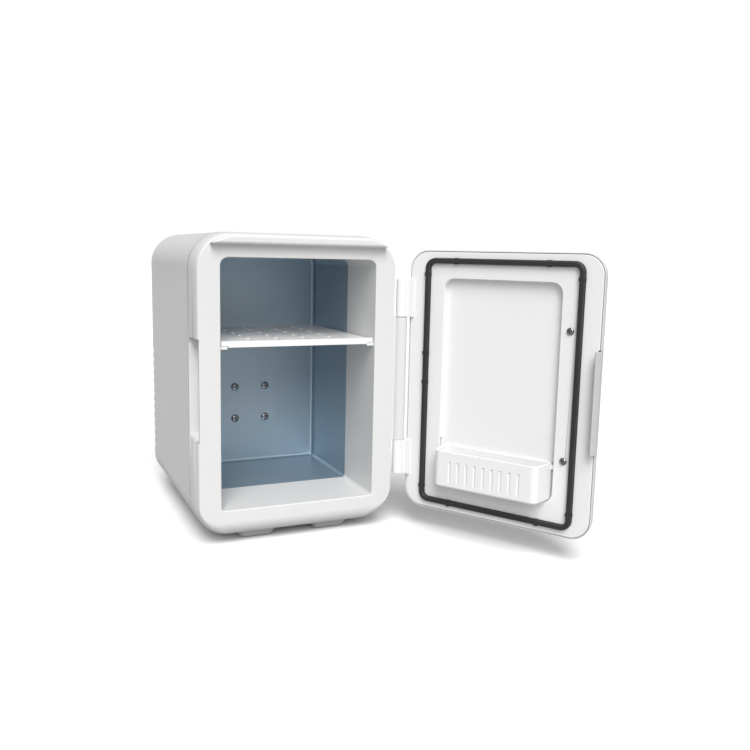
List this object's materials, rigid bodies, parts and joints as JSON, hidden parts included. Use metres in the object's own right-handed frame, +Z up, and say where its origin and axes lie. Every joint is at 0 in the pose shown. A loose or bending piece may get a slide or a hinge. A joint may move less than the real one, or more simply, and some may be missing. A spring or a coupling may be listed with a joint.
{
  "type": "mini fridge",
  "caption": "Small countertop thermoelectric fridge: rounded white cabinet, hinged door standing open, metal-lined cavity with a slotted shelf, door basket and latch.",
  "frame": {"origin": "centre of the cabinet footprint, on the plane of the soles of the feet", "axes": "+Z up; -Y is the front of the cabinet, where the door closes; +X is the hinge side"},
  "size_m": [0.2992, 0.3816, 0.268],
  "materials": {
    "shell_white": "satin moulded plastic, fine texture",
    "inner_white": "smooth moulded plastic",
    "foot_grey": "matte",
    "latch_grey": "matte",
    "gasket_black": "soft, matte",
    "liner_metal": "fine brushed",
    "cooler_metal": "milled",
    "screw_steel": "plated",
    "pin_steel": "ground",
    "foam_cream": "cut foam",
    "module_white": "matte",
    "fan_black": "matte",
    "board_green": "coated",
    "socket_black": "matte",
    "lamp_clear": "clear"
  },
  "bodies": {
    "cabinet": {"ac_inlet": "socket_black", "board_screws": "screw_steel", "cold_block": "cooler_metal", "cooling_module": "module_white", "cover_screws": "screw_steel", "dc_socket": "socket_black", "fan_frame": "fan_black", "fan_screws": "screw_steel", "foot_front_left": "foot_grey", "foot_front_right": "foot_grey", "foot_rear_left": "foot_grey", "foot_rear_right": "foot_grey", "foot_screws": "screw_steel", "front_frame": "shell_white", "handle_pins": "pin_steel", "heat_sink": "cooler_metal", "heat_sink_screws": "screw_steel", "indicator_lights": "lamp_clear", "insulation": "foam_cream", "liner": "liner_metal", "liner_screws": "screw_steel", "outer_shell": "shell_white", "power_board": "board_green", "rear_cover": "shell_white", "shelf_rails": "inner_white", "switch_board": "board_green", "switch_housing": "socket_black"},
    "door": {"door_outer_shell": "shell_white", "door_inner_panel": "inner_white", "door_insulation": "foam_cream", "door_gasket": "gasket_black", "door_screws": "screw_steel", "hinge_pins": "pin_steel", "latch_pin": "pin_steel", "latch_spring": "pin_steel"},
    "latch": {"latch_lever": "latch_grey"},
    "basket": {"door_basket": "inner_white"},
    "shelf": {"shelf": "inner_white"},
    "fan": {"fan_rotor": "fan_black"},
    "rocker": {"switch_rocker": "socket_black"},
    "handle": {"carry_handle": "shell_white"}
  },
  "joints": [
    {"name": "door_hinge", "type": "hinge", "parent": "cabinet", "child": "door", "pos_m": [0.096, -0.109, 0.1405], "axis": [0, 0, 1], "range_deg": [-121, 29]},
    {"name": "latch_pivot", "type": "hinge", "parent": "door", "child": "latch", "pos_m": [0.20136, -0.25522, 0.13875], "axis": [0, 0, 1], "range_deg": [0, 8], "stiffness_Nm_per_rad": 0.06, "springref_deg": -5.73},
    {"name": "basket_lift", "type": "slide", "parent": "door", "child": "basket", "axis": [0, 0, 1], "range_m": [0, 0.007]},
    {"name": "shelf_slide", "type": "slide", "parent": "cabinet", "child": "shelf", "axis": [0, -1, 0], "range_m": [0, 0.12]},
    {"name": "fan_spin", "type": "hinge", "parent": "cabinet", "child": "fan", "pos_m": [0, 0.0929, 0.095], "axis": [0, 1, 0], "continuous": true},
    {"name": "mode_rock", "type": "hinge", "parent": "cabinet", "child": "rocker", "pos_m": [0.046, 0.106, 0.235], "axis": [1, 0, 0], "range_deg": [-11, 11]},
    {"name": "handle_fold", "type": "hinge", "parent": "cabinet", "child": "handle", "pos_m": [0, -0.022, 0.262], "axis": [1, 0, 0], "range_deg": [0, 90]}
  ]
}
